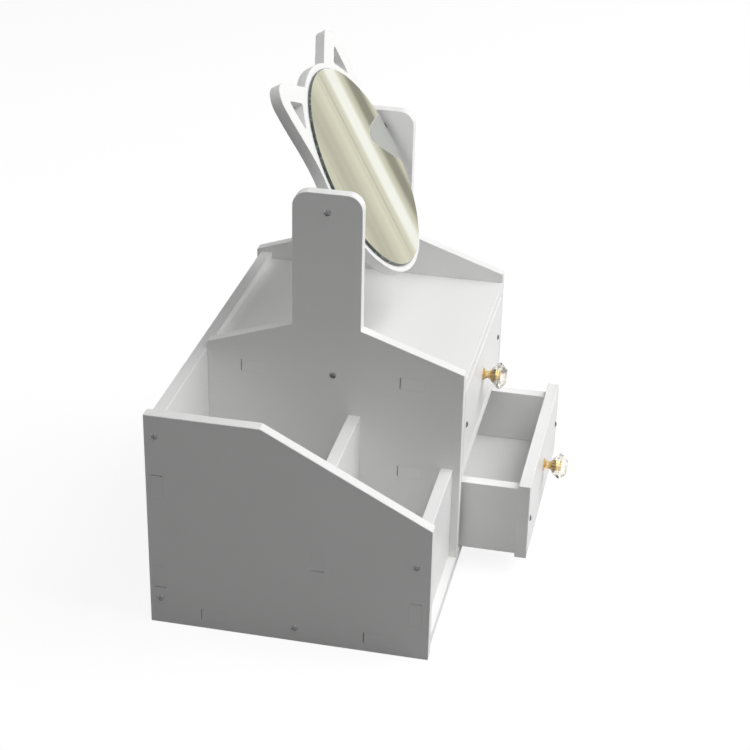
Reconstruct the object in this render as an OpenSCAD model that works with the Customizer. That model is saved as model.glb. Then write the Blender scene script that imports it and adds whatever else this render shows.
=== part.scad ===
// Vanity mirror with an open caddy, a tray and two drawers.
// Three upright panels carry the boards on tongues and screws, and the round mirror
// turns on two screws between the uprights of the middle and right panels.

/* [Cabinet] */
// Width over the outer faces of the left and right panels
cabinet_width = 266; // [236:1:320]
// Depth of the left and right panels
cabinet_depth = 180; // [165:1:230]
// Thickness of every panel and of every board in the cabinet
board = 8; // [6:0.5:10]
// Clear width of the open caddy
caddy_width = 90; // [60:1:110]
// Height of the base board's underside above the table
base_lift = 6; // [3:0.5:15]
// Distance from the panels' rear edges to the back board
back_inset = 3; // [1:0.5:8]
// Distance from the panels' rear corners down to the back board's top
back_drop = 1.5; // [0:0.5:10]
// Height of the tray's side lip and of the panels' rear corners above the tray
tray_lip = 6.6; // [4:0.1:20]

/* [Panel outlines] */
// Height of the left panel's front edge
left_front_height = 94; // [82:1:120]
// Length of the left panel's level top, from the rear edge
left_flat = 73; // [30:1:100]
// Rise of the two right-hand panels from their corners to the uprights
shoulder_rise = 23; // [10:1:40]
// Distance from the front edge to the uprights
upright_inset = 67.5; // [50:0.5:80]
// Width of the uprights from front to back
upright_width = 45; // [35:1:55]
// Height of the uprights above their shoulders
upright_rise = 91; // [88:1:110]
// Radius of the uprights' two top corners
upright_corner = 10; // [2:0.5:14]

/* [Caddy] */
// Height of the caddy's front board
caddy_front_height = 67; // [40:1:75]
// Distance from the panels' front edges to the caddy's front board
caddy_front_inset = 5; // [0:0.5:20]
// Height of the caddy's divider
divider_height = 98; // [60:1:105]
// Distance from the panels' front edges to the divider
divider_inset = 67; // [40:1:90]

/* [Drawers] */
// Clear height of each drawer bay
bay_height = 56.7; // [45:0.1:70]
// Distance that the lower drawer stands open
lower_drawer_pull = 45.5; // [0:0.5:100]
// Gap above each drawer front and at its two ends
front_gap = 1.5; // [0.5:0.1:2.5]
// Gap under each drawer, on the board that it slides on
running_gap = 0.3; // [0.2:0.05:0.5]
// Gap between a closed drawer and the back board
drawer_back_gap = 0.5; // [0.3:0.1:3]
// Thickness of the drawer's front, sides and back
drawer_board = 8; // [6:0.5:10]
// Distance from the front's ends to the drawer's sides
drawer_side_inset = 4.5; // [1:0.5:8]
// Distance from the front's top edge down to the drawer's sides
drawer_side_drop = 4.7; // [0:0.1:8]
// Thickness of the drawer's bottom
drawer_bottom_thickness = 5; // [3:0.5:7]
// Height of the bottom's underside above the drawer's lower edge
drawer_bottom_rise = 7.3; // [3:0.1:12]
// Depth of the groove that holds the drawer's bottom
groove_depth = 3; // [2:0.5:4]
// Height of the drawer's screws above its lower edge
drawer_screw_height = 26.6; // [16:0.1:36]

/* [Knobs] */
// Height of the knob's centre above the drawer's lower edge
knob_height = 30.4; // [20:0.1:35]
// Distance that the knob stands out from the drawer front
knob_length = 16.5; // [12:0.5:20]
// Diameter of the crystal over its girdle's corners
crystal_diameter = 18.5; // [14:0.5:24]
// Number of facets round the crystal
crystal_sides = 10; // [6:1:11]
// Distance from the drawer front to the crystal's back
crystal_standoff = 6; // [4:0.5:7]
// Diameter of the knob's foot and of the cup that holds the crystal
knob_cup_diameter = 8.6; // [7:0.1:10]
// Diameter of the knob's waist
knob_waist_diameter = 5; // [4.6:0.1:6]
// Depth of the cup's seat inside the crystal
cup_depth = 5.5; // [3:0.5:6]

/* [Mirror] */
// Angle that the mirror leans back from upright, in degrees
mirror_lean = 29.5; // [0:0.5:60]
// Gap between the mirror's rim and each upright
mirror_gap = 3; // [1.5:0.1:4]
// Thickness of the mirror's board
mirror_board_thickness = 7; // [6:0.5:10]
// Distance from the uprights' tops down to the pivot
pivot_drop = 12.5; // [8:0.5:20]
// Distance from the pivot down to the disc's centre
disc_drop = 3; // [0:0.5:10]
// Width of the rim left round the glass
rim_width = 4; // [3:0.5:10]
// Thickness of the glass
glass_thickness = 2; // [1.5:0.1:4]

/* [Ears] */
// Angle of the ear's tip above the level through the disc's centre, in degrees
ear_angle = 50; // [45:1:55]
// Distance from the disc's edge out to the centre of the ear's tip
ear_reach = 18; // [12:0.5:20]
// Radius of the ear's tip
ear_tip_radius = 12.8; // [10:0.2:15]
// Angle on the disc where the ear's outer edge starts, in degrees
ear_root_angle = 12; // [6:1:18]
// Angle on the disc where the ear's top edge ends, in degrees
ear_notch_angle = 70; // [68:1:75]
// Width of the ear's band outside its slot
ear_band = 12; // [8:0.5:13]
// Width of the band left between the ear's slot and the disc's edge
slot_ring = 2.5; // [1:0.5:4]
// Radius of the slot's corners
slot_corner = 1.5; // [0.5:0.1:3]

/* [Tongues and screws] */
// Length of each tongue along its board's edge
tongue_length = 16; // [8:0.5:24]
// Distance from a level board's front edge to its front tongue
tongue_front_inset = 25; // [15:1:40]
// Distance from the panels' rear edges to a level board's rear tongue
tongue_rear_inset = 34; // [25:1:50]
// Distance from the back board's lower edge to its lower tongue
back_tongue_rise = 21; // [18:1:30]
// Distance from the back board's top to its upper tongue
back_tongue_drop = 40.5; // [25:0.5:50]
// Distance from the back board's ends to its screws
back_screw_inset = 12.5; // [8:0.5:15]
// Distance from the front board's lower edge to its tongue
front_tongue_rise = 10; // [4:1:14]
// Distance from the front board's top down to its screw
front_screw_drop = 14; // [6:1:18]
// Clearance on a tongue's faces and at its snug end
slot_gap = 0.1; // [0.05:0.05:0.3]
// Clearance at a tongue's loose end, seen as a dark line
slot_end_gap = 0.6; // [0.2:0.1:1]
// Diameter of the screws' shanks
screw_diameter = 2.8; // [2:0.1:3.5]
// Length of the screws' shanks
screw_length = 22; // [16:1:30]
// Diameter of the screws' heads
screw_head_diameter = 4.4; // [4:0.1:6]
// Height of the screws' heads
screw_head_height = 1.1; // [0.8:0.1:2]
// Height of the knob screws' heads
knob_screw_head_height = 2; // [1.2:0.1:3]
// Diameter of the knob screws' heads
knob_screw_head_diameter = 7; // [5:0.1:9]
// Diameter of the knob screws' shanks
knob_screw_diameter = 3.5; // [3:0.1:4]
// Diameter of the pivot screws' shanks
pivot_diameter = 3.2; // [2.6:0.1:4]
// Length of the pivot screws' shanks
pivot_length = 26; // [20:1:34]
// Clearance between a pivot screw and its hole's wall
pivot_gap = 0.05; // [0.03:0.01:0.08]
// Clearance between a fixed screw and its hole's wall
screw_gap = 0.05; // [0.02:0.01:0.15]
// Outer diameter of the mirror's spacer washers
washer_diameter = 7.6; // [6:0.1:8]
// Gap between a spacer washer and its upright
washer_gap = 0.2; // [0.1:0.05:0.4]

/* [Hidden] */
$fn = 48;
FIXED_NODES = [
    "left_side_panel", "middle_panel", "right_side_panel", "base_board", "back_board",
    "caddy_front_board", "caddy_divider", "tray_board", "drawer_shelf"];
LOWER_NODES = [
    "lower_drawer_front", "lower_drawer_left_side", "lower_drawer_right_side",
    "lower_drawer_back", "lower_drawer_bottom", "lower_drawer_screws",
    "lower_knob_base", "lower_knob_crystal", "lower_knob_screw"];
UPPER_NODES = [
    "upper_drawer_front", "upper_drawer_left_side", "upper_drawer_right_side",
    "upper_drawer_back", "upper_drawer_bottom", "upper_drawer_screws",
    "upper_knob_base", "upper_knob_crystal", "upper_knob_screw"];
MIRROR_NODES = ["mirror_board", "mirror_glass", "mirror_pivot_screws", "mirror_washers"];
SCREW_NODES = [
    "left_panel_screws", "middle_panel_screws", "right_panel_screws", "base_screws",
    "back_board_screws"];

// Colours
board_color = "whitesmoke";
gold_color = "goldenrod";
steel_color = "silver";
crystal_color = "aliceblue";
glass_color = "lightsteelblue";

// Places of the panels from left to right
middle_x = board + caddy_width;
bay_x = middle_x + board;
right_x = cabinet_width - board;
bay_width = right_x - bay_x;
bay_middle = bay_x + bay_width / 2;

// Heights of the boards, from the table up
base_top = base_lift + board;
shelf_z = base_top + bay_height;
upper_floor = shelf_z + board;
tray_z = upper_floor + bay_height;
corner_height = tray_z + board + tray_lip;
shoulder_height = corner_height + shoulder_rise;
upright_top = shoulder_height + upright_rise;
upright_rear = upright_inset + upright_width;
back_y = cabinet_depth - back_inset - board;
back_top = corner_height - back_drop;

// The part's origin is under the middle of its whole outline
origin_y = (cabinet_depth - lower_drawer_pull - knob_length) / 2;

// Seats of the tongues, as the [y, z] corners of the tongue and then of its slot
tongue_ys = [tongue_front_inset, cabinet_depth - tongue_rear_inset - tongue_length];
base_seats = level_seats(base_lift);
shelf_seats = level_seats(shelf_z);
tray_seats = level_seats(tray_z);
back_seats = [
    seat_loose_below(back_y, base_lift + back_tongue_rise),
    seat_loose_above(back_y, back_top - back_tongue_drop - tongue_length)];
front_seats = [seat_loose_above(caddy_front_inset, base_top + front_tongue_rise)];
divider_seats = [
    seat_loose_below(divider_inset, base_top + (divider_height - tongue_length) / 2)];

// Places of the panel screws: [y, z]
back_screws = [
    [back_y + board / 2, base_lift + back_screw_inset],
    [back_y + board / 2, back_top - back_screw_inset]];
front_screw = [caddy_front_inset + board / 2, base_top + caddy_front_height - front_screw_drop];
left_screws = concat([level_screw(base_lift), front_screw], back_screws);
middle_screws = [level_screw(shelf_z), level_screw(tray_z)];
right_screws = concat([level_screw(base_lift)], middle_screws, back_screws);

// The middle panel's own fixings, through the base board and through the back board
middle_line = middle_x + board / 2;
base_span = tongue_ys[1] - tongue_ys[0] - tongue_length;
base_screw_ys = [
    tongue_ys[0] + tongue_length + base_span / 4,
    tongue_ys[1] - base_span / 4];
back_screw_zs = [for (seat = back_seats) seat[0][1] + tongue_length / 2];

// Drawers
drawer_depth = back_y - drawer_back_gap - screw_head_height;
front_width = bay_width - 2 * front_gap;
front_height = bay_height - running_gap - front_gap;
side_height = front_height - drawer_side_drop;
side_length = drawer_depth - 2 * drawer_board;
side_x = bay_x + front_gap + drawer_side_inset;
box_width = front_width - 2 * drawer_side_inset;
bottom_width = box_width - 2 * (drawer_board - groove_depth);
bottom_length = side_length + 2 * groove_depth;
drawer_screw_xs = [side_x + drawer_board / 2, side_x + box_width - drawer_board / 2];

// Knobs
knob_screw_bite = 6;
crystal_girdle = 5;
crystal_girdle_band = 0.6;
crystal_table_diameter = 10;
crystal_skin = 0.8;
knob_flange = 0.8;

// Mirror, with x from the middle of the disc and y from the pivot
mirror_radius = bay_width / 2 - mirror_gap;
pivot_y = upright_inset + upright_width / 2;
pivot_z = upright_top - pivot_drop;
disc_centre = [0, -disc_drop];
ear_tip = disc_centre + polar(mirror_radius + ear_reach, ear_angle);
ear_overlap = 0.4;
ear_root = disc_centre + polar(mirror_radius - ear_overlap, ear_root_angle);
ear_notch = disc_centre + polar(mirror_radius - ear_overlap, ear_notch_angle);
ear_heel = disc_centre + polar(mirror_radius / 2, ear_angle);
ear_curl = 0.45;
washer_thickness = mirror_gap - washer_gap;
washer_bore_gap = 0.2;

function polar(radius, angle) = radius * [cos(angle), sin(angle)];

// A tongue's seat from its lower front corner, its size and its gaps on the two sides
function seat(corner, size, gap_before, gap_after) =
    [corner, corner + size, corner - gap_before, corner + size + gap_after];

// Level boards are pushed forward in their slots, so that the gap is at the rear
function level_seats(z) =
    [for (y = tongue_ys)
        seat([y, z], [tongue_length, board], [slot_gap, slot_gap], [slot_end_gap, slot_gap])];

function seat_loose_above(y, z) =
    seat([y, z], [board, tongue_length], [slot_gap, slot_gap], [slot_gap, slot_end_gap]);

function seat_loose_below(y, z) =
    seat([y, z], [board, tongue_length], [slot_gap, slot_end_gap], [slot_gap, slot_gap]);

function level_screw(z) =
    [(tongue_ys[0] + tongue_ys[1] + tongue_length) / 2, z + board / 2];

// Points of an arc round a centre, both ends included
function arc(centre, radius, from, to, steps = 12) =
    [for (i = [0:steps]) centre + polar(radius, from + (to - from) * i / steps)];

// Points of a cubic curve, its two ends left out
function curve(a, b, c, d, steps = 14) =
    [for (i = [1:steps - 1]) let (t = i / steps, s = 1 - t)
        s * s * s * a + 3 * s * s * t * b + 3 * s * t * t * c + t * t * t * d];

// The right ear's outline: its tip, its outer side and a heel inside the disc
function ear_points() =
    let (
        to_notch = ear_notch - ear_tip,
        notch_angle = atan2(to_notch[1], to_notch[0]) + 360,
        top_angle = (notch_angle - acos(ear_tip_radius / norm(to_notch))) % 360,
        side = ear_tip + [ear_tip_radius, 0],
        sweep = ear_curl * norm(side - ear_root)
    )
    concat(
        [ear_notch],
        arc(ear_tip, ear_tip_radius, top_angle, 0),
        curve(side, side - [0, sweep], ear_root + polar(sweep, ear_root_angle + 90), ear_root),
        [ear_root, ear_heel]);

// Moves the cabinet's corner frame onto the part's frame
module place() {
    translate([-cabinet_width / 2, -origin_y, 0])
        children();
}

module slab(x0, x1, y0, y1, z0, z1) {
    translate([x0, y0, z0])
        cube([x1 - x0, y1 - y0, z1 - z0]);
}

// An upright panel, from an outline of y against z
module panel(x) {
    translate([x, 0, 0])
        rotate([90, 0, 90])
            linear_extrude(board)
                children();
}

module tongues(x0, x1, seats) {
    for (seat = seats)
        slab(x0, x1, seat[0][0], seat[1][0], seat[0][1], seat[1][1]);
}

module slots(x, seats) {
    for (seat = seats)
        slab(x - 1, x + board + 1, seat[2][0], seat[3][0], seat[2][1], seat[3][1]);
}

// A screw with its head standing up from z = 0 and its shank below
module screw(diameter, length, head_diameter, head_height) {
    dome = head_height / 2 + head_diameter * head_diameter / (8 * head_height);
    recess = head_diameter / 7;
    translate([0, 0, -length])
        cylinder(h = length, d = diameter);
    difference() {
        intersection() {
            translate([0, 0, head_height - dome])
                sphere(r = dome);
            cylinder(h = head_height, d = head_diameter);
        }
        for (turn = [0, 90])
            rotate(turn)
                translate([-head_diameter * 0.3, -recess / 2, head_height / 2])
                    cube([head_diameter * 0.6, recess, head_height]);
    }
}

module board_screw() {
    screw(screw_diameter, screw_length, screw_head_diameter, screw_head_height);
}

module screw_hole(diameter, length, gap) {
    translate([0, 0, -length - 1])
        cylinder(h = length + 2, d = diameter + 2 * gap);
}

module board_screw_hole() {
    screw_hole(screw_diameter, screw_length, screw_gap);
}

// Turns an upright screw so that its head points left or right, and sets it on a panel
module across(x, points, side) {
    for (point = points)
        translate([x, point[0], point[1]])
            rotate([0, side * 90, 0])
                children();
}

// Sets an upright screw under the middle panel, with its head down
module from_below() {
    for (y = base_screw_ys)
        translate([middle_line, y, base_lift])
            rotate([180, 0, 0])
                children();
}

// Sets an upright screw behind the middle panel, with its head to the rear
module from_behind() {
    for (z = back_screw_zs)
        translate([middle_line, back_y + board, z])
            rotate([-90, 0, 0])
                children();
}

module tall_outline() {
    polygon([
        [0, 0],
        [cabinet_depth, 0],
        [cabinet_depth, corner_height],
        [upright_rear, shoulder_height],
        [upright_inset, shoulder_height],
        [0, corner_height]]);
    translate([upright_inset, 0]) {
        square([upright_width, upright_top - upright_corner]);
        translate([upright_corner, 0])
            square([upright_width - 2 * upright_corner, upright_top]);
        for (y = [upright_corner, upright_width - upright_corner])
            translate([y, upright_top - upright_corner])
                circle(r = upright_corner);
    }
}

module pivot_hole(x) {
    translate([x - 1, pivot_y, pivot_z])
        rotate([0, 90, 0])
            cylinder(h = board + 2, d = pivot_diameter + 2 * pivot_gap);
}

// The cabinet's panels and boards

module left_side_panel() {
    color(board_color)
        place()
            difference() {
                panel(0)
                    polygon([
                        [0, 0],
                        [cabinet_depth, 0],
                        [cabinet_depth, corner_height],
                        [cabinet_depth - left_flat, corner_height],
                        [0, left_front_height]]);
                slots(0, concat(base_seats, back_seats, front_seats, divider_seats));
                across(0, left_screws, -1)
                    board_screw_hole();
            }
}

module middle_panel() {
    color(board_color)
        place()
            difference() {
                union() {
                    panel(middle_x)
                        intersection() {
                            tall_outline();
                            translate([0, base_top])
                                square([back_y, upright_top]);
                        }
                    for (y = tongue_ys)
                        slab(middle_x, bay_x, y, y + tongue_length, base_lift, base_top + 1);
                }
                slots(middle_x, concat(shelf_seats, tray_seats, front_seats, divider_seats));
                across(middle_x, middle_screws, -1)
                    board_screw_hole();
                from_below()
                    board_screw_hole();
                from_behind()
                    board_screw_hole();
                pivot_hole(middle_x);
            }
}

module right_side_panel() {
    color(board_color)
        place()
            difference() {
                panel(right_x)
                    tall_outline();
                slots(right_x, concat(base_seats, shelf_seats, tray_seats, back_seats));
                across(cabinet_width, right_screws, 1)
                    board_screw_hole();
                pivot_hole(right_x);
            }
}

module base_board() {
    color(board_color)
        place()
            difference() {
                union() {
                    slab(board, right_x, 0, back_y, base_lift, base_top);
                    tongues(0, cabinet_width, base_seats);
                }
                for (y = tongue_ys)
                    slab(
                        middle_x - slot_gap, bay_x + slot_gap,
                        y - slot_gap, y + tongue_length + slot_end_gap,
                        base_lift - 1, base_top + 1);
                across(0, [level_screw(base_lift)], -1)
                    board_screw_hole();
                across(cabinet_width, [level_screw(base_lift)], 1)
                    board_screw_hole();
                from_below()
                    board_screw_hole();
            }
}

module back_board() {
    color(board_color)
        place()
            difference() {
                union() {
                    slab(board, right_x, back_y, back_y + board, base_lift, back_top);
                    tongues(0, cabinet_width, back_seats);
                }
                across(0, back_screws, -1)
                    board_screw_hole();
                across(cabinet_width, back_screws, 1)
                    board_screw_hole();
                from_behind()
                    board_screw_hole();
            }
}

module caddy_front_board() {
    top = base_top + caddy_front_height;
    color(board_color)
        place()
            difference() {
                union() {
                    slab(board, middle_x, caddy_front_inset, caddy_front_inset + board, base_top, top);
                    tongues(0, bay_x, front_seats);
                }
                across(0, [front_screw], -1)
                    board_screw_hole();
            }
}

module caddy_divider() {
    top = base_top + divider_height;
    color(board_color)
        place() {
            slab(board, middle_x, divider_inset, divider_inset + board, base_top, top);
            tongues(0, bay_x, divider_seats);
        }
}

// A level board between the middle and right panels
module bay_board(z, seats) {
    color(board_color)
        place()
            difference() {
                union() {
                    slab(bay_x, right_x, 0, back_y, z, z + board);
                    tongues(middle_x, cabinet_width, seats);
                }
                across(middle_x, [level_screw(z)], -1)
                    board_screw_hole();
                across(cabinet_width, [level_screw(z)], 1)
                    board_screw_hole();
            }
}

module tray_board() {
    bay_board(tray_z, tray_seats);
}

module drawer_shelf() {
    bay_board(shelf_z, shelf_seats);
}

// Sets a drawer on its floor and pulls it out: its own frame has y = 0 at the front's
// face and z = 0 at the lower edge
module drawer_place(floor_z, pull) {
    place()
        translate([0, -pull, floor_z + running_gap])
            children();
}

module lower_place() {
    drawer_place(base_top, lower_drawer_pull)
        children();
}

module upper_place() {
    drawer_place(upper_floor, 0)
        children();
}

module front_fixings() {
    for (x = drawer_screw_xs)
        translate([x, 0, drawer_screw_height])
            rotate([90, 0, 0])
                children();
}

module rear_fixings() {
    for (x = drawer_screw_xs)
        translate([x, drawer_depth, drawer_screw_height])
            rotate([-90, 0, 0])
                children();
}

// The room that the drawer's bottom takes up, with a gap at its edges and above it
module bottom_room(gap) {
    x = side_x + drawer_board - groove_depth;
    y = drawer_board - groove_depth;
    slab(
        x - gap, x + bottom_width + gap,
        y - gap, y + bottom_length + gap,
        drawer_bottom_rise, drawer_bottom_rise + drawer_bottom_thickness + gap);
}

module knob_place() {
    translate([bay_middle, 0, knob_height])
        rotate([90, 0, 0])
            children();
}

module drawer_front() {
    color(board_color)
        difference() {
            translate([bay_x + front_gap, 0, 0])
                cube([front_width, drawer_board, front_height]);
            bottom_room(slot_gap);
            front_fixings()
                board_screw_hole();
            knob_place()
                screw_hole(knob_screw_diameter, drawer_board, screw_gap);
        }
}

module drawer_side(x) {
    color(board_color)
        difference() {
            translate([x, drawer_board, 0])
                cube([drawer_board, side_length, side_height]);
            bottom_room(slot_gap);
            front_fixings()
                board_screw_hole();
            rear_fixings()
                board_screw_hole();
        }
}

module drawer_back() {
    color(board_color)
        difference() {
            translate([side_x, drawer_board + side_length, 0])
                cube([box_width, drawer_board, side_height]);
            bottom_room(slot_gap);
            rear_fixings()
                board_screw_hole();
        }
}

module drawer_bottom() {
    color(board_color)
        bottom_room(0);
}

module drawer_screws() {
    color(steel_color) {
        front_fixings()
            board_screw();
        rear_fixings()
            board_screw();
    }
}

// The gold base of a knob: foot, waist and the cup that the crystal sits on
module knob_base() {
    foot_radius = knob_cup_diameter / 2;
    waist = foot_radius - knob_waist_diameter / 2;
    half = (crystal_standoff - knob_flange) / 2;
    hollow = (half * half + waist * waist) / (2 * waist);
    color(gold_color)
        knob_place()
            difference() {
                rotate_extrude()
                    difference() {
                        square([foot_radius, crystal_standoff + cup_depth]);
                        translate([foot_radius - waist + hollow, knob_flange + half])
                            circle(r = hollow);
                    }
                translate([0, 0, -1])
                    cylinder(h = knob_screw_bite + 2, d = knob_screw_diameter + 2 * screw_gap);
            }
}

// A cut crystal: facets run from its back to the girdle and on to the table
module knob_crystal() {
    back_diameter = knob_cup_diameter + 2 * crystal_skin;
    depth = knob_length - crystal_standoff;
    half_facet = 180 / crystal_sides;
    color(crystal_color)
        knob_place()
            translate([0, 0, crystal_standoff])
                difference() {
                    hull() {
                        rotate(half_facet)
                            cylinder(h = depth / 50, d = back_diameter, $fn = crystal_sides);
                        translate([0, 0, crystal_girdle])
                            cylinder(
                                h = crystal_girdle_band, d = crystal_diameter, $fn = crystal_sides);
                        translate([0, 0, depth - depth / 50])
                            rotate(half_facet)
                                cylinder(
                                    h = depth / 50, d = crystal_table_diameter,
                                    $fn = crystal_sides);
                    }
                    translate([0, 0, -1])
                        cylinder(h = cup_depth + 1, d = knob_cup_diameter + 2 * screw_gap);
                }
}

module knob_screw() {
    color(steel_color)
        translate([bay_middle, drawer_board, knob_height])
            rotate([-90, 0, 0])
                screw(
                    knob_screw_diameter, drawer_board + knob_screw_bite,
                    knob_screw_head_diameter, knob_screw_head_height);
}

module lower_drawer_front() {
    lower_place()
        drawer_front();
}

module lower_drawer_left_side() {
    lower_place()
        drawer_side(side_x);
}

module lower_drawer_right_side() {
    lower_place()
        drawer_side(side_x + box_width - drawer_board);
}

module lower_drawer_back() {
    lower_place()
        drawer_back();
}

module lower_drawer_bottom() {
    lower_place()
        drawer_bottom();
}

module lower_drawer_screws() {
    lower_place()
        drawer_screws();
}

module lower_knob_base() {
    lower_place()
        knob_base();
}

module lower_knob_crystal() {
    lower_place()
        knob_crystal();
}

module lower_knob_screw() {
    lower_place()
        knob_screw();
}

module upper_drawer_front() {
    upper_place()
        drawer_front();
}

module upper_drawer_left_side() {
    upper_place()
        drawer_side(side_x);
}

module upper_drawer_right_side() {
    upper_place()
        drawer_side(side_x + box_width - drawer_board);
}

module upper_drawer_back() {
    upper_place()
        drawer_back();
}

module upper_drawer_bottom() {
    upper_place()
        drawer_bottom();
}

module upper_drawer_screws() {
    upper_place()
        drawer_screws();
}

module upper_knob_base() {
    upper_place()
        knob_base();
}

module upper_knob_crystal() {
    upper_place()
        knob_crystal();
}

module upper_knob_screw() {
    upper_place()
        knob_screw();
}

// The mirror leans back about its pivot: its own frame has x across, y through the
// board with the glass at the front, and z up
module mirror_place() {
    place()
        translate([bay_middle, pivot_y, pivot_z])
            rotate([-mirror_lean, 0, 0])
                children();
}

module both_ears() {
    for (side = [0, 1])
        mirror([side, 0, 0])
            children();
}

module ear_slot() {
    offset(r = slot_corner)
        offset(delta = -slot_corner)
            difference() {
                offset(delta = -ear_band)
                    polygon(ear_points());
                translate(disc_centre)
                    circle(r = mirror_radius + slot_ring);
            }
}

// Sets an upright screw on the outer face of an upright, in the mirror's frame
module pivot_fixings() {
    for (side = [-1, 1])
        translate([side * (bay_width / 2 + board), 0, 0])
            rotate([0, side * 90, 0])
                children();
}

// A flat shape of x against z, given the thickness of the mirror's board and more
module mirror_slab(extra = 0) {
    rotate([90, 0, 0])
        linear_extrude(mirror_board_thickness + extra, center = true)
            children();
}

module mirror_board() {
    color(board_color)
        mirror_place()
            difference() {
                union() {
                    mirror_slab()
                        translate(disc_centre)
                            circle(r = mirror_radius, $fn = 96);
                    both_ears()
                        mirror_slab()
                            polygon(ear_points());
                }
                both_ears()
                    mirror_slab(2)
                        ear_slot();
                pivot_fixings()
                    screw_hole(pivot_diameter, pivot_length, screw_gap);
            }
}

module mirror_glass() {
    color(glass_color)
        mirror_place()
            translate([0, -mirror_board_thickness / 2, -disc_drop])
                rotate([90, 0, 0])
                    cylinder(h = glass_thickness, r = mirror_radius - rim_width, $fn = 96);
}

module mirror_pivot_screws() {
    color(steel_color)
        mirror_place()
            pivot_fixings()
                screw(pivot_diameter, pivot_length, screw_head_diameter, screw_head_height);
}

module mirror_washers() {
    color(steel_color)
        mirror_place()
            for (side = [-1, 1])
                translate([side * mirror_radius, 0, 0])
                    rotate([0, side * 90, 0])
                        difference() {
                            cylinder(h = washer_thickness, d = washer_diameter);
                            translate([0, 0, -1])
                                cylinder(
                                    h = washer_thickness + 2,
                                    d = pivot_diameter + 2 * washer_bore_gap);
                        }
}

// The cabinet's screws

module left_panel_screws() {
    color(steel_color)
        place()
            across(0, left_screws, -1)
                board_screw();
}

module middle_panel_screws() {
    color(steel_color)
        place()
            across(middle_x, middle_screws, -1)
                board_screw();
}

module right_panel_screws() {
    color(steel_color)
        place()
            across(cabinet_width, right_screws, 1)
                board_screw();
}

module base_screws() {
    color(steel_color)
        place()
            from_below()
                board_screw();
}

module back_board_screws() {
    color(steel_color)
        place()
            from_behind()
                board_screw();
}

left_side_panel();
middle_panel();
right_side_panel();
base_board();
back_board();
caddy_front_board();
caddy_divider();
tray_board();
drawer_shelf();
lower_drawer_front();
lower_drawer_left_side();
lower_drawer_right_side();
lower_drawer_back();
lower_drawer_bottom();
lower_drawer_screws();
lower_knob_base();
lower_knob_crystal();
lower_knob_screw();
upper_drawer_front();
upper_drawer_left_side();
upper_drawer_right_side();
upper_drawer_back();
upper_drawer_bottom();
upper_drawer_screws();
upper_knob_base();
upper_knob_crystal();
upper_knob_screw();
mirror_board();
mirror_glass();
mirror_pivot_screws();
mirror_washers();
left_panel_screws();
middle_panel_screws();
right_panel_screws();
base_screws();
back_board_screws();
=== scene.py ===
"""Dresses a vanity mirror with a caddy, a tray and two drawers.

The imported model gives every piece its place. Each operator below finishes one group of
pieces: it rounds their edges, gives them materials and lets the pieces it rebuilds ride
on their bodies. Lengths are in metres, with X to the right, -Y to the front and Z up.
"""
import math

import bmesh
import bpy
from bpy.props import FloatProperty, FloatVectorProperty, IntProperty, PointerProperty
from bpy.types import Operator, Panel, PropertyGroup
from mathutils import Matrix, Vector


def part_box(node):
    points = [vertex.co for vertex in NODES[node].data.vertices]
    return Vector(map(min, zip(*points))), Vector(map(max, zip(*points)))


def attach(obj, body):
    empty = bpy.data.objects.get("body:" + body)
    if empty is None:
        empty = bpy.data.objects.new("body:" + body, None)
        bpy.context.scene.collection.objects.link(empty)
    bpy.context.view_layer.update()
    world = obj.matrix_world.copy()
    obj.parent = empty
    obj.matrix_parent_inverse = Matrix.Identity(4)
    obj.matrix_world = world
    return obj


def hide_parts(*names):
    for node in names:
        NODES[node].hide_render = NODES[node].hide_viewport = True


bl_info = {
    "name": "Vanity Mirror",
    "version": (1, 0, 0),
    "blender": (4, 5, 0),
    "location": "View3D > Sidebar > Vanity",
    "description": "Dresses the panels, drawers, knobs and mirror of a desk vanity",
    "category": "Object",
}

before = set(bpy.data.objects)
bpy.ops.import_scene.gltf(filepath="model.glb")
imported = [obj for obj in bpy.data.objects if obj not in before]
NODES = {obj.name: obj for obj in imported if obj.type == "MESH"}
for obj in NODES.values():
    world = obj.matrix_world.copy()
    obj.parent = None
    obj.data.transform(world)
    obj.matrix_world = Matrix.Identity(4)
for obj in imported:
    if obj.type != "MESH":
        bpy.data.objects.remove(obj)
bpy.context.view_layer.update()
MM = 0.001

FLOAT = "NodeSocketFloat"
COLOR = "NodeSocketColor"
WHITE = (1, 1, 1, 1)
BLACK = (0, 0, 0, 1)

PANELS = ("left_side_panel", "middle_panel", "right_side_panel")
LEVEL_BOARDS = ("base_board", "tray_board", "drawer_shelf")
CROSS_BOARDS = ("back_board", "caddy_front_board", "caddy_divider")
LEVELS = ("lower", "upper")
CABINET_SCREWS = (
    "left_panel_screws",
    "middle_panel_screws",
    "right_panel_screws",
    "base_screws",
    "back_board_screws",
)

# The crystals' seats for the gold cups: a radius that holds them, and the room at their ends
CUP_REACH = 4.6 * MM
SEAT_CLEARANCE = 0.1 * MM

# How much rougher a cut edge is than a board's face
CUT_EDGE_DULLER = 0.15
# How strongly lacquer and crystal bend light
LACQUER_IOR = 1.46
CRYSTAL_IOR = 1.5
# How high the finest texture stands
LACQUER_TEXTURE = 0.05 * MM
PLATING_TEXTURE = 0.02 * MM
# The boards' faint clouds, the dust on the glass and the bright nicks in its ground edge
CLOUD_TONE = (0.35, 0.35, 0.33, 1)
DUST_TONE = (0.7, 0.7, 0.68, 1)
NICK_TONE = (0.4, 0.45, 0.4, 1)

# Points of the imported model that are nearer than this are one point, and neighbouring faces
# that bend less than this are one flat face
WELD_WITHIN = 0.002 * MM
FLAT_WITHIN = math.radians(0.4)
# The ends of tongues and the walls of slots and bores are smaller than this
SMALL_PATCH = 330 * MM ** 2
# The facets of curved walls and eased edges are smaller than this
CURVED_FACET = 80 * MM ** 2
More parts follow.
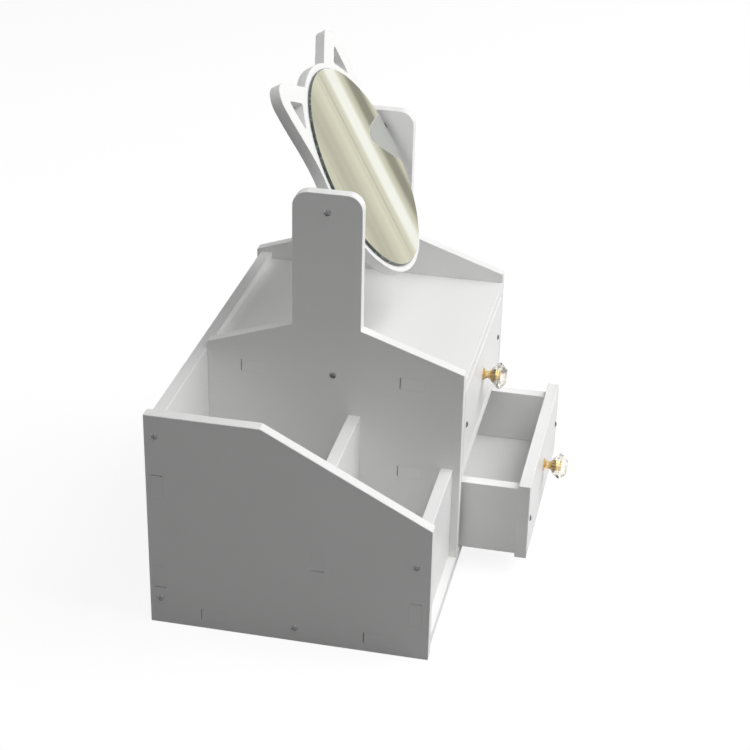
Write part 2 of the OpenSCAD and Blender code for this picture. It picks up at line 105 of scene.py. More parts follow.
# Edges that bend more than the first are eased, and those under the second are shaded smooth
EASED_FROM = math.radians(32)
SMOOTH_BELOW = math.radians(35)
# A face is part of a board's or the glass's skin if more than this share of its normal lies
# along the thickness
BOARD_SKIN = 0.9
GLASS_SKIN = 0.99

# Both cards glow, though they are no lamps, and what the mirror shows of them is a painted
# reflection
# The side card stands where the photograph's camera looks by way of the mirror
SIDE_CARD = (2.3, -1.22, 0.05)
SIDE_CARD_HALF = 0.8
SIDE_CARD_ROLL = math.radians(-28.8)
# Each of its two chief stripes: its middle, half its width, and where it has faded out,
# measured from the middle
LIGHT_STRIPE = (0.137, 0.007, 0.014)
DARK_STRIPE = (0.168, 0.006, 0.014)
DARK_STRIPE_DEPTH = 0.8
LIGHT_STRIPE_TONE = (1.0, 1.0, 0.93, 1)
DARK_STRIPE_TONE = (0.2, 0.19, 0.15, 1)
# The front card stands where a view from the front looks by way of the mirror
FRONT_CARD = (0.12, -0.8, 0.95)
FRONT_CARD_HALF = 1.1
# It is darkest this far below its middle and white this far above
FRONT_CARD_SHADE = 0.65
# Its light band, given as the stripes are, and the band's slant and strength
LIGHT_BAND = (0.02, 0.03, 0.075)
BAND_SLANT = 0.6
BAND_STRENGTH = 0.55
# The shares of a card's half width between which it fades to white
CARD_FADE = (0.75, 0.98)

# Each soft lamp's name, place, side and the setting that holds its power
LAMPS = (
    ("front_lamp", (0.1, -1.2, 1.95), 1.4, "front_power"),
    ("low_lamp", (0.0, -2.0, 0.7), 1.0, "low_power"),
    ("side_lamp", (1.3, -1.3, 1.3), 1.3, "side_power"),
    ("left_lamp", (-1.2, -0.5, 1.9), 1.3, "left_power"),
    ("back_lamp", (0.1, 2.0, 0.6), 1.2, "back_power"),
)
# How far the camera sees
CAMERA_REACH = 50.0

X_AXIS = Vector((1, 0, 0))
Y_AXIS = Vector((0, 1, 0))
Z_AXIS = Vector((0, 0, 1))


# ---------------------------------------------------------------------------
# Settings
# ---------------------------------------------------------------------------


class BoardSettings(PropertyGroup):
    """The white boards."""

    edge_radius: FloatProperty(
        name="Edge radius", description="Radius of the boards' eased edges",
        default=0.45 * MM, min=0.1 * MM, max=1.5 * MM, unit="LENGTH")
    edge_steps: IntProperty(
        name="Edge steps", description="Facets round each eased edge",
        default=3, min=1, max=6)
    skin: FloatVectorProperty(
        name="Skin", description="Colour of the boards' faces",
        default=(0.92, 0.92, 0.915), size=3, min=0, max=1, subtype="COLOR")
    # The cut edges are a shade whiter than the faces: partly the bare cut's own tone, partly
    # painted light for the light that the edges catch
    cut: FloatVectorProperty(
        name="Cut edge", description="Colour of the boards' cut edges",
        default=(0.93, 0.93, 0.925), size=3, min=0, max=1, subtype="COLOR")
    gloss: FloatProperty(
        name="Roughness", description="Roughness of the boards' satin faces",
        default=0.42, min=0.1, max=0.9)


class MirrorSettings(PropertyGroup):
    """The round glass."""

    ground_edge: FloatProperty(
        name="Ground edge", description="Width of the glass's ground front edge",
        default=0.5 * MM, min=0.1 * MM, max=1.5 * MM, unit="LENGTH")
    silver: FloatVectorProperty(
        name="Silver", description="Colour of the silvered face",
        default=(0.9, 0.91, 0.88), size=3, min=0, max=1, subtype="COLOR")
    # The rim's dark green is partly the glass's own tint and partly painted shade, for the
    # board's shadow seen in the edge
    rim: FloatVectorProperty(
        name="Rim", description="Colour of the glass's ground edge",
        default=(0.05, 0.075, 0.06), size=3, min=0, max=1, subtype="COLOR")


class KnobSettings(PropertyGroup):
    """The knobs."""

    gold: FloatVectorProperty(
        name="Gold", description="Colour of the gold plating",
        default=(0.8, 0.6, 0.3), size=3, min=0, max=1, subtype="COLOR")
    crystal: FloatVectorProperty(
        name="Crystal", description="Tint of the cut crystal",
        default=(0.975, 0.95, 0.87), size=3, min=0, max=1, subtype="COLOR")


class ScrewSettings(PropertyGroup):
    """The screws."""

    # The zinc is set far darker than bright plating: painted shade, for the countersinks that
    # the heads sit in
    zinc: FloatVectorProperty(
        name="Zinc", description="Colour of the screws' plating",
        default=(0.2, 0.2, 0.205), size=3, min=0, max=1, subtype="COLOR")


class StudioSettings(PropertyGroup):
    """Floor, lamps and camera."""

    floor_size: FloatProperty(
        name="Floor size", description="Side of the square floor",
        default=12.0, min=2.0, max=40.0, unit="LENGTH")
    floor: FloatVectorProperty(
        name="Floor", description="Colour of the floor",
        default=(0.29, 0.29, 0.29), size=3, min=0, max=1, subtype="COLOR")
    floor_seen: FloatVectorProperty(
        name="Floor as seen", description="Colour of the floor's shadows to the camera",
        default=(0.2, 0.2, 0.2), size=3, min=0, max=1, subtype="COLOR")
    floor_glow: FloatProperty(
        name="Floor white", description="White that the floor adds to what the camera sees",
        default=0.87, min=0.0, max=1.0)
    front_power: FloatProperty(
        name="Front lamp", description="Power of the large soft lamp above the front",
        default=26.5, min=0.0, max=500.0, unit="POWER")
    low_power: FloatProperty(
        name="Low lamp", description="Power of the soft lamp low in front",
        default=8.5, min=0.0, max=500.0, unit="POWER")
    side_power: FloatProperty(
        name="Side lamp", description="Power of the soft lamp at the right front",
        default=14.5, min=0.0, max=500.0, unit="POWER")
    left_power: FloatProperty(
        name="Left lamp", description="Power of the weak lamp high at the left",
        default=7.8, min=0.0, max=500.0, unit="POWER")
    back_power: FloatProperty(
        name="Back lamp", description="Power of the weak lamp behind",
        default=11.5, min=0.0, max=500.0, unit="POWER")
    ambient: FloatProperty(
        name="Ambient", description="Strength of the plain light all round",
        default=0.02, min=0.0, max=2.0)
    backdrop: FloatProperty(
        name="Backdrop", description="White beyond the floor, as seen and in reflections",
        default=0.88, min=0.0, max=1.0)
    card_tone: FloatVectorProperty(
        name="Side card", description="Colour of the card that the mirror shows to its left",
        default=(0.76, 0.74, 0.6), size=3, min=0, max=1, subtype="COLOR")
    front_card_tone: FloatVectorProperty(
        name="Front card", description="Darkest colour of the card that it shows to the front",
        default=(0.5, 0.53, 0.54), size=3, min=0, max=1, subtype="COLOR")
    lens: FloatProperty(
        name="Lens", description="Focal length of the camera in millimetres",
        default=88.11, min=20.0, max=300.0)
    azimuth: FloatProperty(
        name="Azimuth", description="Camera's direction round the object",
        default=math.radians(-78.363), subtype="ANGLE")
    elevation: FloatProperty(
        name="Elevation", description="Camera's height above the level",
        default=math.radians(27.481), subtype="ANGLE")
    roll: FloatProperty(
        name="Roll", description="Camera's turn about its own line of sight",
        default=math.radians(1.298), subtype="ANGLE")
    distance: FloatProperty(
        name="Distance", description="Camera's distance from its target",
        default=1.22242, min=0.1, unit="LENGTH")
    target: FloatVectorProperty(
        name="Target", description="Point that the camera looks at",
        default=(0.009015, 0.007862, 0.12), size=3, subtype="TRANSLATION")


class VanitySettings(PropertyGroup):
    """Everything that a user would change."""

    boards: PointerProperty(type=BoardSettings)
    mirror: PointerProperty(type=MirrorSettings)
    knobs: PointerProperty(type=KnobSettings)
    screws: PointerProperty(type=ScrewSettings)
    studio: PointerProperty(type=StudioSettings)


# ---------------------------------------------------------------------------
# Shader node groups that several materials share
# ---------------------------------------------------------------------------


class NodeTree:
    """Adds and links nodes in one node tree."""

    def __init__(self, tree):
        self.tree = tree

    def add(self, kind, **options):
        """A new node of a kind, with its own settings."""
        node = self.tree.nodes.new(kind)
        for name, value in options.items():
            setattr(node, name, value)
        return node

    def feed(self, socket, value):
        """Links value to socket if it is a socket itself, and otherwise sets it."""
        if isinstance(value, bpy.types.NodeSocket):
            self.tree.links.new(value, socket)
        else:
            socket.default_value = value

    def noise(self, vector, scale, detail=4.0, roughness=0.5):
        """A noise texture's value between 0 and 1."""
        node = self.add("ShaderNodeTexNoise")
        self.feed(node.inputs["Vector"], vector)
        self.feed(node.inputs["Scale"], scale)
        self.feed(node.inputs["Detail"], detail)
        self.feed(node.inputs["Roughness"], roughness)
        return node.outputs["Fac"]

    def spread(self, value, low, high, to_low=0.0, to_high=1.0):
        """Maps low..high to to_low..to_high and holds it there."""
        node = self.add("ShaderNodeMapRange", clamp=True)
        names = ("Value", "From Min", "From Max", "To Min", "To Max")
        for name, number in zip(names, (value, low, high, to_low, to_high)):
            self.feed(node.inputs[name], number)
        return node.outputs["Result"]

    def math(self, operation, first, second=0.0):
        """One step of arithmetic."""
        node = self.add("ShaderNodeMath", operation=operation)
        self.feed(node.inputs[0], first)
        self.feed(node.inputs[1], second)
        return node.outputs[0]

    def stripe(self, value, middle, half, edge):
        """1 where value is within half of middle, 0 from edge on."""
        away = self.math("ABSOLUTE", self.math("SUBTRACT", value, middle))
        return self.spread(away, half, edge, 1.0, 0.0)

    def mix(self, share, first, second):
        """Mixes two colours, whose sockets stand after those for numbers and vectors."""
        node = self.add("ShaderNodeMix", data_type="RGBA")
        self.feed(node.inputs["Factor"], share)
        self.feed(node.inputs[6], first)
        self.feed(node.inputs[7], second)
        return node.outputs[2]

    def bump(self, height, strength, distance):
        """A normal bent by a height."""
        node = self.add("ShaderNodeBump")
        self.feed(node.inputs["Height"], height)
        self.feed(node.inputs["Strength"], strength)
        self.feed(node.inputs["Distance"], distance)
        return node.outputs["Normal"]


def new_group(name, inputs, outputs):
    """An empty shader group: inputs are (name, type, default), outputs (name, type)."""
    group = bpy.data.node_groups.new(name, "ShaderNodeTree")
    for label, kind, default in inputs:
        socket = group.interface.new_socket(label, in_out="INPUT", socket_type=kind)
        socket.default_value = default
    for label, kind in outputs:
        group.interface.new_socket(label, in_out="OUTPUT", socket_type=kind)
    tree = NodeTree(group)
    return group, tree, tree.add("NodeGroupInput"), tree.add("NodeGroupOutput")


def satin_skin_group():
    """Satin board: faint cloudy tone, handling marks in the gloss and a fine texture."""
    group, tree, given, out = new_group(
        "Satin skin",
        [
            ("Color", COLOR, (0.8, 0.8, 0.8, 1)),
            ("Roughness", FLOAT, 0.4),
            ("Cloud scale", FLOAT, 18.0),
            ("Cloud depth", FLOAT, 0.04),
            ("Texture scale", FLOAT, 1600.0),
        ],
        [("Color", COLOR), ("Roughness", FLOAT), ("Height", FLOAT)])
    place = tree.add("ShaderNodeTexCoord").outputs["Object"]
    cloud = tree.noise(place, given.outputs["Cloud scale"], detail=3.0, roughness=0.55)
    handled = tree.noise(place, scale=55.0, detail=5.0, roughness=0.65)
    grain = tree.noise(place, given.outputs["Texture scale"], detail=2.0, roughness=0.6)
    shade = tree.math("MULTIPLY", given.outputs["Cloud depth"], cloud)
    darker = tree.mix(shade, given.outputs["Color"], CLOUD_TONE)
    marks = tree.spread(handled, 0.42, 0.72, -0.035, 0.07)
    roughness = tree.math("ADD", given.outputs["Roughness"], marks)
    tree.feed(out.inputs["Color"], darker)
    tree.feed(out.inputs["Roughness"], roughness)
    tree.feed(out.inputs["Height"], grain)
    return group


def plating_group():
    """Plated metal: tone and gloss that change a little, with fine handling scratches."""
    group, tree, given, out = new_group(
        "Plating",
        [
            ("Color", COLOR, (0.8, 0.8, 0.8, 1)),
            ("Roughness", FLOAT, 0.2),
            ("Scale", FLOAT, 400.0),
            ("Tarnish", COLOR, (0.3, 0.25, 0.2, 1)),
            ("Tarnish depth", FLOAT, 0.2),
        ],
        [("Color", COLOR), ("Roughness", FLOAT), ("Height", FLOAT)])
    place = tree.add("ShaderNodeTexCoord").outputs["Object"]
    cloud = tree.noise(place, given.outputs["Scale"], detail=4.0, roughness=0.6)
    fine_scale = tree.math("MULTIPLY", given.outputs["Scale"], 9.0)
    fine = tree.noise(place, fine_scale, detail=2.0, roughness=0.5)
    depth = tree.math("MULTIPLY", given.outputs["Tarnish depth"], tree.spread(cloud, 0.35, 0.75))
    dulled = tree.mix(depth, given.outputs["Color"], given.outputs["Tarnish"])
    rougher = tree.spread(cloud, 0.3, 0.8, 0.0, 0.1)
    tree.feed(out.inputs["Color"], dulled)
    tree.feed(
        out.inputs["Roughness"], tree.math("ADD", given.outputs["Roughness"], rougher))
    tree.feed(out.inputs["Height"], fine)
    return group


def shared_group(name, build):
    """The named node group, built the first time it is asked for."""
    return bpy.data.node_groups.get(name) or build()


def opaque(color):
    """A colour with its alpha."""
    return (*color, 1.0)


def new_material(name):
    """A material with a Principled BSDF, and the tree to add nodes with."""
    material = bpy.data.materials.new(name)
    material.use_nodes = True
    tree = NodeTree(material.node_tree)
    return material, tree, material.node_tree.nodes["Principled BSDF"]


def effect(tree, name, build, **values):
    """A shared effect placed in a material, with its inputs set."""
    node = tree.add("ShaderNodeGroup", node_tree=shared_group(name, build))
    for label, value in values.items():
        tree.feed(node.inputs[label.replace("_", " ")], value)
    return node


def board_material(name, color, roughness, cloud_depth, texture_scale, bump):
    """Satin white board."""
    material, tree, shader = new_material(name)
    skin = effect(
        tree, "Satin skin", satin_skin_group, Color=opaque(color), Roughness=roughness,
        Cloud_depth=cloud_depth, Texture_scale=texture_scale)
    tree.feed(shader.inputs["Base Color"], skin.outputs["Color"])
    tree.feed(shader.inputs["Roughness"], skin.outputs["Roughness"])
    tree.feed(shader.inputs["Normal"], tree.bump(skin.outputs["Height"], bump, LACQUER_TEXTURE))
    shader.inputs["IOR"].default_value = LACQUER_IOR
    return material


def metal_material(name, color, roughness, tarnish, depth, scale, bump):
    """Plated metal."""
    material, tree, shader = new_material(name)
    plating = effect(
        tree, "Plating", plating_group, Color=opaque(color), Roughness=roughness,
        Tarnish=opaque(tarnish), Tarnish_depth=depth, Scale=scale)
    tree.feed(shader.inputs["Base Color"], plating.outputs["Color"])
    tree.feed(shader.inputs["Roughness"], plating.outputs["Roughness"])
    tree.feed(
        shader.inputs["Normal"],
        tree.bump(plating.outputs["Height"], bump, PLATING_TEXTURE))
    shader.inputs["Metallic"].default_value = 1.0
    return material


def settings():
    """The scene's settings."""
    return bpy.context.scene.vanity


def board_materials():
    """The skin and the cut edge of the white boards."""
    look = settings().boards
    skin = bpy.data.materials.get("white_skin") or board_material(
        "white_skin", look.skin, look.gloss,
        cloud_depth=0.05, texture_scale=1500.0, bump=0.25)
    # The cut edge's whiter tone is partly painted light
    cut = bpy.data.materials.get("white_cut_edge") or board_material(
        "white_cut_edge", look.cut, look.gloss + CUT_EDGE_DULLER,
        cloud_depth=0.03, texture_scale=2600.0, bump=0.5)
    return skin, cut


def silver_material(look):
    """Silvered glass, with faint dust and wiping marks."""
    material, tree, shader = new_material("silvered_glass")
    place = tree.add("ShaderNodeTexCoord").outputs["Object"]
    dust = tree.noise(place, scale=70.0, detail=6.0, roughness=0.7)
    dusted = tree.spread(dust, 0.5, 0.8, 0.0, 0.12)
    wiped = tree.noise(place, scale=14.0, detail=3.0, roughness=0.5)
    tree.feed(
        shader.inputs["Base Color"], tree.mix(dusted, opaque(look.silver), DUST_TONE))
    tree.feed(shader.inputs["Roughness"], tree.spread(wiped, 0.35, 0.75, 0.008, 0.035))
    shader.inputs["Metallic"].default_value = 1.0
    return material


def ground_edge_material(look):
    """The ground edge of the mirror's glass, dark green with small bright nicks."""
    # The dark green is partly the glass's own tint and partly painted shade
    material, tree, shader = new_material("ground_glass_edge")
    place = tree.add("ShaderNodeTexCoord").outputs["Object"]
    nicks = tree.noise(place, scale=260.0, detail=4.0, roughness=0.7)
    nicks = tree.spread(nicks, 0.52, 0.72)
    tree.feed(
        shader.inputs["Base Color"], tree.mix(nicks, opaque(look.rim), NICK_TONE))
    tree.feed(shader.inputs["Roughness"], tree.spread(nicks, 0, 1, 0.12, 0.4))
    return material


def crystal_material(look):
    """Cut crystal, with a trace of haze on its facets."""
    material, tree, shader = new_material("cut_crystal")
    place = tree.add("ShaderNodeTexCoord").outputs["Object"]
    haze = tree.noise(place, scale=420.0, detail=3.0, roughness=0.5)
    tree.feed(
        shader.inputs["Base Color"],
        tree.mix(tree.spread(haze, 0.4, 0.8, 0.0, 0.3), opaque(look.crystal), WHITE))
    tree.feed(shader.inputs["Roughness"], tree.spread(haze, 0.4, 0.8, 0.0, 0.03))
    shader.inputs["Transmission Weight"].default_value = 1.0
    shader.inputs["IOR"].default_value = CRYSTAL_IOR
    return material


def screw_material():
    """Zinc-plated steel."""
    # Its dark zinc is painted shade of the countersinks
    return bpy.data.materials.get("zinc_steel") or metal_material(
        "zinc_steel", settings().screws.zinc, roughness=0.16, tarnish=(0.09, 0.087, 0.083),
        depth=0.5, scale=900.0, bump=0.3)


# ---------------------------------------------------------------------------
# Meshes
# ---------------------------------------------------------------------------


def clean_copy(node):
    """A bmesh of a CAD node with its flat faces whole."""
    mesh = bmesh.new()
    mesh.from_mesh(NODES[node].data)
    bmesh.ops.remove_doubles(mesh, verts=mesh.verts, dist=WELD_WITHIN)
    bmesh.ops.dissolve_limit(
        mesh, angle_limit=FLAT_WITHIN, verts=mesh.verts, edges=mesh.edges, delimit=set())
    return mesh


def patch_areas(mesh):
    """The area of the patch between sharp edges that each face of a bmesh belongs to."""
    areas = {}
    for start in mesh.faces:
        if start in areas:
            continue
        patch, ahead = {start}, [start]
        while ahead:
            for edge in ahead.pop().edges:
                if edge.calc_face_angle(math.pi) < EASED_FROM:
                    fresh = [face for face in edge.link_faces if face not in patch]
                    patch.update(fresh)
                    ahead.extend(fresh)
        area = sum(face.calc_area() for face in patch)
        areas.update((face, area) for face in patch)
    return areas


def ease_edges(mesh, radius, steps, smallest):
    """Rounds the sharp edges of a bmesh, apart from those of tongues, slots and bores."""
    areas = patch_areas(mesh)
    sharp = [
        edge for edge in mesh.edges
        if edge.calc_face_angle(0) > EASED_FROM
        and min(areas[face] for face in edge.link_faces) > smallest]
    bmesh.ops.bevel(
        mesh, geom=sharp, offset=radius, offset_type="OFFSET", segments=steps,
        profile=0.5, affect="EDGES", clamp_overlap=True, loop_slide=True)


def new_piece(name, mesh, materials):
    """An object from a bmesh, linked to the scene, with its materials."""
    data = bpy.data.meshes.new(name)
    mesh.to_mesh(data)
    mesh.free()
    for material in materials:
        data.materials.append(material)
    piece = bpy.data.objects.new(name, data)
    bpy.context.scene.collection.objects.link(piece)
    return piece


def smooth_curves(mesh):
    """Shades a bmesh's narrow faces smooth, and leaves its large faces dead flat."""
    for face in mesh.faces:
        face.smooth = face.calc_area() < CURVED_FACET
    for edge in mesh.edges:
        edge.smooth = edge.calc_face_angle(0) < SMOOTH_BELOW


def dress_board(node, body, thickness_axis):
    """A white board with eased edges, smooth on its faces and matt on its cut edges."""
    look = settings().boards
    mesh = clean_copy(node)
    ease_edges(mesh, look.edge_radius, look.edge_steps, SMALL_PATCH)
    mesh.normal_update()
    for face in mesh.faces:
        on_skin = abs(face.normal.dot(thickness_axis)) > BOARD_SKIN
        face.material_index = 0 if on_skin else 1
    smooth_curves(mesh)
    piece = new_piece("dressed_" + node, mesh, board_materials())
    finish_piece(piece, body, node)


def finish_piece(piece, body, node):
    """Hangs a piece on its body and hides the CAD node that it takes the place of."""
    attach(piece, body)
    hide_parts(node)


def show_node(node, material):
    """Keeps a CAD node's own shape and gives it a material."""
    data = NODES[node].data
    data.materials.clear()
    data.materials.append(material)
    for polygon in data.polygons:
        polygon.material_index = 0


# ---------------------------------------------------------------------------
# Operators
# ---------------------------------------------------------------------------


class VANITY_OT_cabinet(Operator):
    """Finishes the panels and boards of the cabinet, and its screws"""

    bl_idname = "vanity.cabinet"
    bl_label = "Finish Cabinet"

    def execute(self, context):
        for node in PANELS:
            dress_board(node, "cabinet", X_AXIS)
        for node in LEVEL_BOARDS:
            dress_board(node, "cabinet", Z_AXIS)
        for node in CROSS_BOARDS:
            dress_board(node, "cabinet", Y_AXIS)
        for node in CABINET_SCREWS:
            show_node(node, screw_material())
        return {"FINISHED"}


class VANITY_OT_drawers(Operator):
    """Finishes the boards and screws of both drawers"""

    bl_idname = "vanity.drawers"
    bl_label = "Finish Drawers"

    def execute(self, context):
        for level in LEVELS:
            body = level + "_drawer"
            dress_board(body + "_front", body, Y_AXIS)
            dress_board(body + "_back", body, Y_AXIS)
            dress_board(body + "_left_side", body, X_AXIS)
            dress_board(body + "_right_side", body, X_AXIS)
            dress_board(body + "_bottom", body, Z_AXIS)
            show_node(body + "_screws", screw_material())
            show_node(level + "_knob_screw", screw_material())
        return {"FINISHED"}


class VANITY_OT_knobs(Operator):
    """Finishes the gold bases and cut crystals of both knobs"""

    bl_idname = "vanity.knobs"
    bl_label = "Finish Knobs"

    def execute(self, context):
        look = settings().knobs
        gold = metal_material(
            "gold_plating", look.gold, roughness=0.16, tarnish=(0.38, 0.23, 0.08),
            depth=0.45, scale=420.0, bump=0.12)
        crystal = crystal_material(look)
        for level in LEVELS:
            show_node(level + "_knob_base", gold)
            node = level + "_knob_crystal"
            piece = new_piece("cut_" + node, deepened_seat(node), [crystal])
            finish_piece(piece, level + "_drawer", node)
        return {"FINISHED"}


def deepened_seat(node):
    """A crystal's mesh, with the end of its seat a hair's breadth clear of the gold cup."""
    mesh = clean_copy(node)
    low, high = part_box(node)
    middle = (low + high) / 2
    for corner in mesh.verts:
        from_axis = math.hypot(corner.co.x - middle.x, corner.co.z - middle.z)
        if from_axis < CUP_REACH and corner.co.y < high.y - MM:
            corner.co.y -= SEAT_CLEARANCE
    mesh.normal_update()
    return mesh


class VANITY_OT_mirror(Operator):
    """Finishes the mirror's board, its glass, its screws and its washers"""

    bl_idname = "vanity.mirror"
    bl_label = "Finish Mirror"

    def execute(self, context):
        facing = mirror_normal()
        dress_board("mirror_board", "mirror", facing)
        mesh = clean_copy("mirror_glass")
        look = settings().mirror
        ease_edges(mesh, look.ground_edge, steps=1, smallest=0)
        mesh.normal_update()
        for face in mesh.faces:
            on_skin = abs(face.normal.dot(facing)) > GLASS_SKIN
            face.material_index = 0 if on_skin else 1
        smooth_curves(mesh)
        glass = new_piece(
            "silvered_mirror_glass", mesh, [silver_material(look), ground_edge_material(look)])
        finish_piece(glass, "mirror", "mirror_glass")
        show_node("mirror_pivot_screws", screw_material())
        show_node("mirror_washers", screw_material())
        return {"FINISHED"}


def mirror_normal():
    """The line that the glass faces along: the normal of its largest face."""
    polygons = NODES["mirror_glass"].data.polygons
    return max(polygons, key=lambda polygon: polygon.area).normal.copy()


class VANITY_OT_stage(Operator):
    """Sets the floor, the plain light all round, the cards, the lamps and the camera"""

    bl_idname = "vanity.stage"
    bl_label = "Set Stage"

    def execute(self, context):
        studio = settings().studio
        make_floor(studio)
        make_world(studio)
        make_card(
            "side_card", SIDE_CARD, SIDE_CARD_HALF, SIDE_CARD_ROLL, striped, studio.card_tone)
        make_card(
            "front_card", FRONT_CARD, FRONT_CARD_HALF, 0.0, shaded, studio.front_card_tone)
        for name, position, side, power in LAMPS:
            make_lamp(name, position, side, getattr(studio, power))
        make_camera(studio)
        return {"FINISHED"}


def seen_directly(tree):
    """1 for rays from the camera, in reflections and through glass, and otherwise 0."""
    path = tree.add("ShaderNodeLightPath").outputs
    return tree.math(
        "MAXIMUM", path["Is Camera Ray"],
        tree.math("MAXIMUM", path["Is Glossy Ray"], path["Is Transmission Ray"]))


def make_floor(studio):
    """A wide floor that looks white and keeps the object's soft shadow."""
    mesh = bmesh.new()
    bmesh.ops.create_grid(mesh, x_segments=1, y_segments=1, size=studio.floor_size / 2)
    material, tree, shader = new_material("pale_floor")
    seen = seen_directly(tree)
    tree.feed(
        shader.inputs["Base Color"],
        tree.mix(seen, opaque(studio.floor), opaque(studio.floor_seen)))
    tree.feed(shader.inputs["Emission Color"], tree.mix(seen, BLACK, WHITE))
    shader.inputs["Emission Strength"].default_value = studio.floor_glow
    shader.inputs["Roughness"].default_value = 1.0
    shader.inputs["Specular IOR Level"].default_value = 0.0
    new_piece("floor", mesh, [material])


def make_world(studio):
    """Plain light all round, which looks as pale as the floor's far end."""
    world = bpy.data.worlds.new("plain_studio")
    bpy.context.scene.world = world
    world.use_nodes = True
    tree = NodeTree(world.node_tree)
    background = world.node_tree.nodes["Background"]
    tree.feed(background.inputs["Color"], WHITE)
    tree.feed(
        background.inputs["Strength"],
        tree.spread(seen_directly(tree), 0, 1, studio.ambient, studio.backdrop))


def striped(tree, place, tone):
    """A colour in soft stripes along Y, with one light and one dark stripe among them."""
    # The stripes are the painted reflection that the mirror shows to its left
    parts = tree.add("ShaderNodeSeparateXYZ")
    tree.feed(parts.inputs[0], place)
    across = parts.outputs["X"]
    level = tree.add("ShaderNodeCombineXYZ")
    tree.feed(level.inputs["X"], across)
    broad = tree.noise(level.outputs[0], scale=22.0, detail=2.0, roughness=0.5)
    fine = tree.noise(level.outputs[0], scale=160.0, detail=2.0, roughness=0.6)
    stripes = tree.math(
        "MAXIMUM",
        tree.spread(broad, 0.4, 0.65, 0.0, 0.4), tree.spread(fine, 0.54, 0.64, 0.0, 0.5))
    light = tree.stripe(across, *LIGHT_STRIPE)
    dark = tree.math("MULTIPLY", tree.stripe(across, *DARK_STRIPE), DARK_STRIPE_DEPTH)
    dull = tree.mix(tree.math("MAXIMUM", stripes, dark), opaque(tone), DARK_STRIPE_TONE)
    return tree.mix(light, dull, LIGHT_STRIPE_TONE)


def shaded(tree, place, tone):
    """A colour that lightens to white along Y, with one soft light band across it."""
    # The shading is a painted reflection and the band a painted highlight, both shown by the
    # mirror to the front
    parts = tree.add("ShaderNodeSeparateXYZ")
    tree.feed(parts.inputs[0], place)
    across, along = parts.outputs["X"], parts.outputs["Y"]
    lighter = tree.spread(along, -FRONT_CARD_SHADE, FRONT_CARD_SHADE)
    slanted = tree.math("ADD", across, tree.math("MULTIPLY", along, BAND_SLANT))
    band = tree.math("MULTIPLY", tree.stripe(slanted, *LIGHT_BAND), BAND_STRENGTH)
    return tree.mix(tree.math("MAXIMUM", lighter, band), opaque(tone), WHITE)


def make_card(name, centre, half, roll, paint, tone):
    """A card that only reflections show, so that the mirror isn't blank, white at its rim."""
    # The card glows, though it is no lamp, so what the mirror shows of it is a painted
    # reflection
    mesh = bmesh.new()
    bmesh.ops.create_grid(mesh, x_segments=1, y_segments=1, size=half)
    material = bpy.data.materials.new(name)
    material.use_nodes = True
    material.node_tree.nodes.clear()
    tree = NodeTree(material.node_tree)
    place = tree.add("ShaderNodeTexCoord").outputs["Object"]
    reach = tree.add("ShaderNodeVectorMath", operation="LENGTH")
    tree.feed(reach.inputs[0], place)
    fade_start, fade_end = CARD_FADE
    faded = tree.spread(reach.outputs["Value"], fade_start * half, fade_end * half)
    glow = tree.add("ShaderNodeEmission")
    tree.feed(glow.inputs["Color"], tree.mix(faded, paint(tree, place, tone), WHITE))
    output = tree.add("ShaderNodeOutputMaterial")
    tree.feed(output.inputs["Surface"], glow.outputs[0])
    card = new_piece(name, mesh, [material])
    facing = Vector(centre) - Vector(settings().studio.target)
    turned = facing.to_track_quat("Z", "Y").to_matrix().to_4x4()
    card.matrix_world = (
        Matrix.Translation(centre) @ turned @ Matrix.Rotation(roll, 4, "Z"))
    card.visible_camera = False
    card.visible_diffuse = False
    card.visible_transmission = False
    card.visible_shadow = False


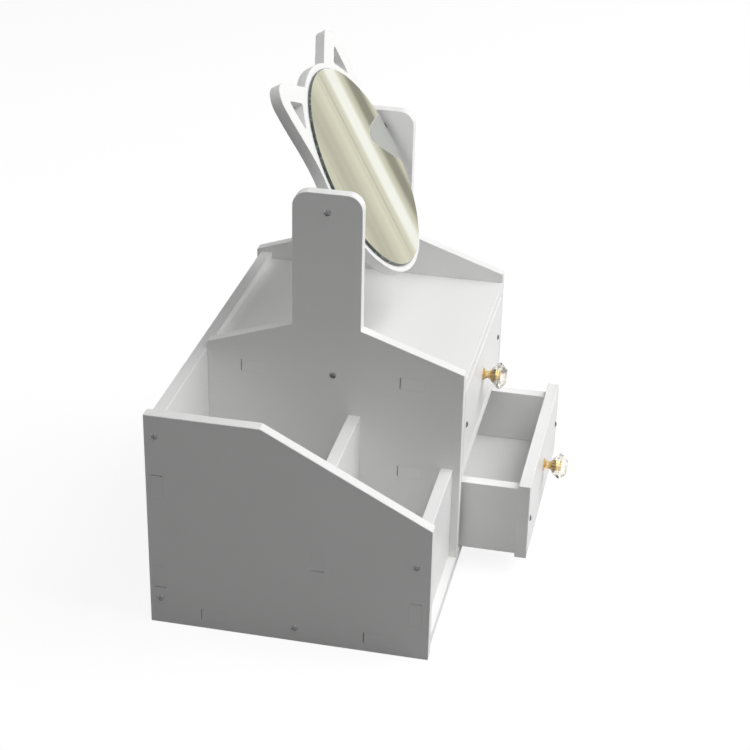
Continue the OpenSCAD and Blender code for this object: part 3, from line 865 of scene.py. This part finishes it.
def make_lamp(name, position, side, power):
    """A square soft lamp that points at the object."""
    data = bpy.data.lights.new(name, "AREA")
    data.shape = "SQUARE"
    data.size = side
    data.energy = power
    lamp = bpy.data.objects.new(name, data)
    lamp.location = position
    aim = Vector(position) - Vector(settings().studio.target)
    lamp.rotation_euler = aim.to_track_quat("Z", "Y").to_euler()
    bpy.context.scene.collection.objects.link(lamp)


def make_camera(studio):
    """The camera at the photograph's viewing angle."""
    data = bpy.data.cameras.new("camera")
    data.lens = studio.lens
    data.clip_end = CAMERA_REACH
    camera = bpy.data.objects.new("camera", data)
    azimuth, elevation = studio.azimuth, studio.elevation
    back = Vector((
        math.sin(azimuth) * math.cos(elevation),
        -math.cos(azimuth) * math.cos(elevation),
        math.sin(elevation)))
    level = Z_AXIS.cross(back).normalized()
    up = back.cross(level)
    turned = math.cos(studio.roll) * level + math.sin(studio.roll) * up
    axes = Matrix((turned, back.cross(turned), back)).transposed()
    camera.matrix_world = (
        Matrix.Translation(Vector(studio.target) + back * studio.distance) @ axes.to_4x4())
    bpy.context.scene.collection.objects.link(camera)
    bpy.context.scene.camera = camera
    bpy.context.scene.view_settings.view_transform = "Standard"


class VANITY_PT_sidebar(Panel):
    """Lists the steps in their order"""

    bl_idname = "VANITY_PT_sidebar"
    bl_label = "Vanity Mirror"
    bl_space_type = "VIEW_3D"
    bl_region_type = "UI"
    bl_category = "Vanity"

    def draw(self, context):
        for step in STEPS:
            self.layout.operator(step.bl_idname)


STEPS = (
    VANITY_OT_stage,
    VANITY_OT_cabinet,
    VANITY_OT_drawers,
    VANITY_OT_knobs,
    VANITY_OT_mirror,
)
CLASSES = (
    BoardSettings,
    MirrorSettings,
    KnobSettings,
    ScrewSettings,
    StudioSettings,
    VanitySettings,
    *STEPS,
    VANITY_PT_sidebar,
)


def register():
    """Registers the classes and hangs the settings on the scene."""
    for item in CLASSES:
        bpy.utils.register_class(item)
    bpy.types.Scene.vanity = PointerProperty(type=VanitySettings)


def unregister():
    """Takes back what register() did."""
    del bpy.types.Scene.vanity
    for item in reversed(CLASSES):
        bpy.utils.unregister_class(item)


def main():
    """Runs every step in order."""
    register()
    bpy.ops.vanity.stage()
    bpy.ops.vanity.cabinet()
    bpy.ops.vanity.drawers()
    bpy.ops.vanity.knobs()
    bpy.ops.vanity.mirror()


if __name__ == "__main__":
    main()
